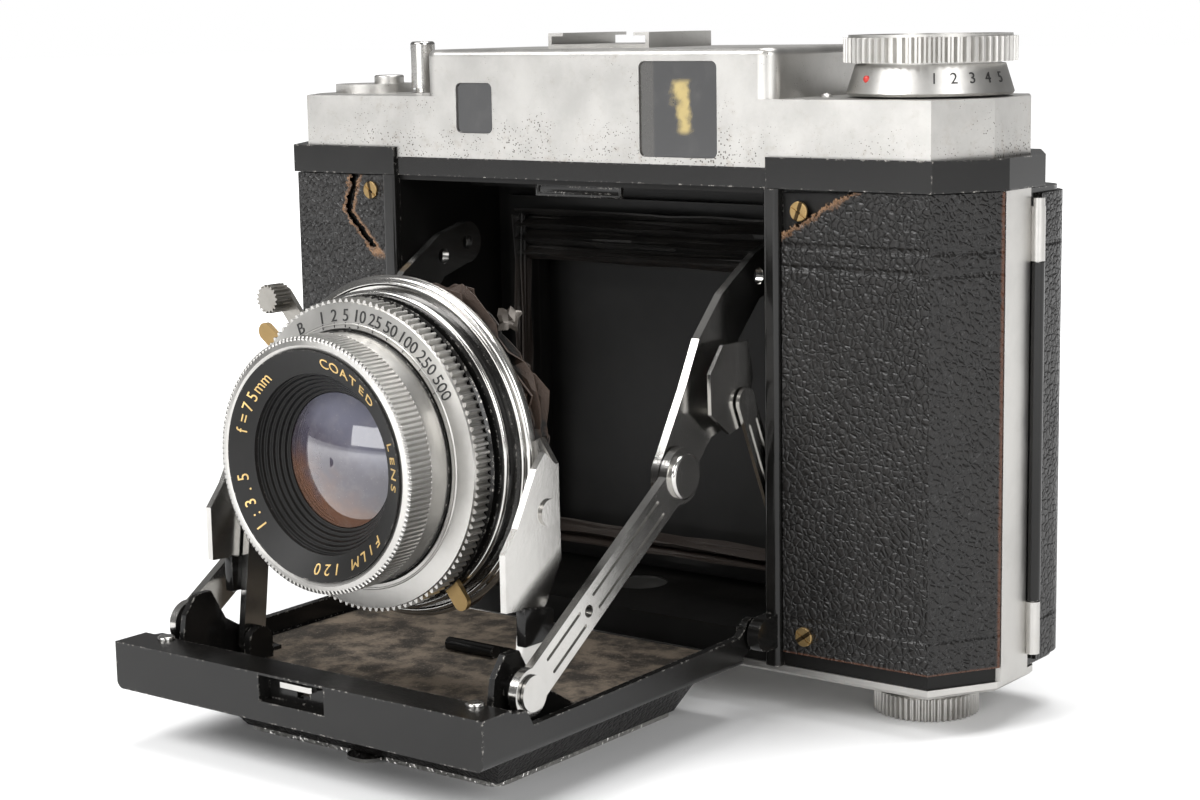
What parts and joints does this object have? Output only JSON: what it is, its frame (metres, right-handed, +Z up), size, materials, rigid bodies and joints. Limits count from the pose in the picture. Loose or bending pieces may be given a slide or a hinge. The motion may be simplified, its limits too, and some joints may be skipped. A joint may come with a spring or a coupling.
{
  "type": "folding camera",
  "caption": "Roll-film folding camera, opened: black body, silver top housing, drop-down door on struts, lens and shutter standard.",
  "frame": {"origin": "centre of the tripod socket's mouth, in the plane of the body's underside", "axes": "+X to the right as seen from the front along the body's length, +Y from the lens to the back of the camera, +Z up"},
  "size_m": [0.1396, 0.1017, 0.103],
  "materials": {
    "satin_aluminium": "satin",
    "bright_chrome": "polished",
    "satin_silver": "satin",
    "gloss_black": "gloss",
    "black_leather": "matt",
    "aged_brass": "satin",
    "matt_black": "matt",
    "lens_glass": "polished",
    "red_glass": "polished"
  },
  "bodies": {
    "body": {"body_casting": "gloss_black", "bottom_plate": "satin_silver", "brass_screws": "aged_brass", "front_leather": "black_leather", "side_strips": "satin_silver", "opening_posts": "gloss_black", "top_band": "gloss_black", "top_housing": "satin_aluminium", "accessory_shoe": "satin_aluminium", "finder_windows": "lens_glass", "eyepiece": "matt_black", "release_plate": "satin_aluminium", "tripod_bush": "satin_silver", "stay_rails": "bright_chrome"},
    "door": {"door_tray": "gloss_black", "door_bulge": "black_leather", "bulge_plate": "bright_chrome", "door_brackets": "gloss_black", "door_rivets": "bright_chrome"},
    "cradle": {"cradle_arms": "gloss_black"},
    "standard": {"standard_ring": "bright_chrome", "standard_plate": "gloss_black", "shutter_body": "gloss_black", "lens_barrel": "satin_silver", "name_ring": "matt_black", "lens_cone": "matt_black", "front_lens": "lens_glass", "rear_lens": "lens_glass", "shutter_blades": "matt_black", "aperture_blades": "matt_black", "bellows_front": "black_leather"},
    "lower_struts": {"lower_strut_left": "bright_chrome", "lower_strut_right": "bright_chrome"},
    "upper_struts": {"upper_strut_left": "bright_chrome", "upper_strut_right": "bright_chrome", "strut_plates": "bright_chrome"},
    "stays": {"stays": "bright_chrome"},
    "film_frame": {"film_gate_frame": "matt_black", "bellows_rear": "black_leather"},
    "focus_wheel": {"focus_wheel": "gloss_black"},
    "advance": {"advance_knob": "satin_aluminium", "counter_skirt": "satin_aluminium", "takeup_spool": "matt_black"},
    "supply_spool": {"supply_spool": "matt_black"},
    "spool_knob_left": {"spool_knob_left": "satin_silver"},
    "spool_knob_right": {"spool_knob_right": "satin_silver"},
    "release_button": {"release_button": "bright_chrome"},
    "door_latch": {"door_latch": "bright_chrome"},
    "door_foot": {"door_foot": "bright_chrome"},
    "back": {"back_cover": "gloss_black", "back_leather": "black_leather", "pressure_plate": "matt_black", "pressure_springs": "bright_chrome", "red_window": "red_glass"},
    "window_shutter": {"window_shutter": "satin_aluminium"},
    "back_latch": {"back_latch": "bright_chrome"},
    "speed_ring": {"speed_ring": "satin_silver"},
    "cocking_lever": {"cocking_lever": "bright_chrome"},
    "release_lever": {"release_lever": "aged_brass"},
    "aperture_lever": {"aperture_lever": "aged_brass"}
  },
  "joints": [
    {"name": "door_hinge", "type": "hinge", "parent": "body", "child": "door", "pos_m": [0, -0.0195, 0.007], "axis": [1, 0, 0], "range_deg": [-90, 0]},
    {"name": "cradle_pivot", "type": "hinge", "parent": "door", "child": "cradle", "pos_m": [0, -0.0632, 0.0063], "axis": [1, 0, 0], "range_deg": [-45.7, 0]},
    {"name": "standard_pivot", "type": "hinge", "parent": "cradle", "child": "standard", "pos_m": [0, -0.06, 0.0321], "axis": [1, 0, 0], "range_deg": [0, 135.7]},
    {"name": "strut_foot", "type": "hinge", "parent": "door", "child": "lower_struts", "pos_m": [0, -0.0702, 0.0097], "axis": [1, 0, 0], "range_deg": [-25.2, 0]},
    {"name": "strut_knee", "type": "hinge", "parent": "lower_struts", "child": "upper_struts", "pos_m": [0, -0.0346, 0.0334], "axis": [1, 0, 0], "range_deg": [0, 160.2]},
    {"name": "stay_pivot", "type": "hinge", "parent": "body", "child": "stays", "pos_m": [0, -0.0113, 0.0223], "axis": [1, 0, 0], "range_deg": [-27, 0]},
    {"name": "focus_wheel_turn", "type": "hinge", "parent": "body", "child": "focus_wheel", "pos_m": [-0.008, 0.01, 0.0805], "axis": [0, 0, 1], "range_deg": [0, 120]},
    {"name": "film_frame_slide", "type": "slide", "parent": "body", "child": "film_frame", "axis": [0, -1, 0], "range_m": [0, 0.0015]},
    {"name": "advance_turn", "type": "hinge", "parent": "body", "child": "advance", "pos_m": [0.0544, 0, 0.09], "axis": [0, 0, 1], "continuous": true},
    {"name": "supply_turn", "type": "hinge", "parent": "body", "child": "supply_spool", "pos_m": [-0.0514, 0, 0.04], "axis": [0, 0, 1], "continuous": true},
    {"name": "spool_knob_left_pull", "type": "slide", "parent": "body", "child": "spool_knob_left", "axis": [0, 0, 1], "range_m": [-0.004, 0]},
    {"name": "spool_knob_right_pull", "type": "slide", "parent": "body", "child": "spool_knob_right", "axis": [0, 0, 1], "range_m": [-0.004, 0]},
    {"name": "release_press", "type": "slide", "parent": "body", "child": "release_button", "axis": [0, 0, 1], "range_m": [-0.0025, 0], "stiffness_N_per_m": 400},
    {"name": "door_latch_press", "type": "slide", "parent": "door", "child": "door_latch", "axis": [0, 0, 1], "range_m": [-0.0012, 0], "stiffness_N_per_m": 400},
    {"name": "foot_fold", "type": "hinge", "parent": "door", "child": "door_foot", "pos_m": [0, -0.0646, -0.006], "axis": [1, 0, 0], "range_deg": [0, 85]},
    {"name": "back_hinge", "type": "hinge", "parent": "body", "child": "back", "pos_m": [0.0705, 0.0033, 0.04], "axis": [0, 0, 1], "range_deg": [-95, 0]},
    {"name": "window_shutter_slide", "type": "slide", "parent": "back", "child": "window_shutter", "axis": [1, 0, 0], "range_m": [0, 0.01]},
    {"name": "back_latch_slide", "type": "slide", "parent": "back", "child": "back_latch", "axis": [0, 0, 1], "range_m": [0, 0.004]},
    {"name": "speed_turn", "type": "hinge", "parent": "standard", "child": "speed_ring", "pos_m": [0, -0.066, 0.0381], "axis": [0, 1, 0], "range_deg": [-90, 0]},
    {"name": "cocking_turn", "type": "hinge", "parent": "standard", "child": "cocking_lever", "pos_m": [0, -0.063, 0.0381], "axis": [0, 1, 0], "range_deg": [0, 30]},
    {"name": "release_turn", "type": "hinge", "parent": "standard", "child": "release_lever", "pos_m": [0, -0.061, 0.0381], "axis": [0, 1, 0], "range_deg": [-8, 0]},
    {"name": "aperture_turn", "type": "hinge", "parent": "standard", "child": "aperture_lever", "pos_m": [0, -0.061, 0.0381], "axis": [0, 1, 0], "range_deg": [-20, 20]}
  ],
  "couplings": [
    {"joint": "cradle_pivot", "follows": "door_hinge", "ratio": 0.5078},
    {"joint": "standard_pivot", "follows": "door_hinge", "ratio": -1.5078},
    {"joint": "strut_foot", "follows": "door_hinge", "ratio": 0.28},
    {"joint": "strut_knee", "follows": "door_hinge", "ratio": -1.78},
    {"joint": "stay_pivot", "follows": "door_hinge", "ratio": 0.3},
    {"joint": "focus_wheel_turn", "follows": "film_frame_slide", "rad_per_m": 1396.3}
  ]
}
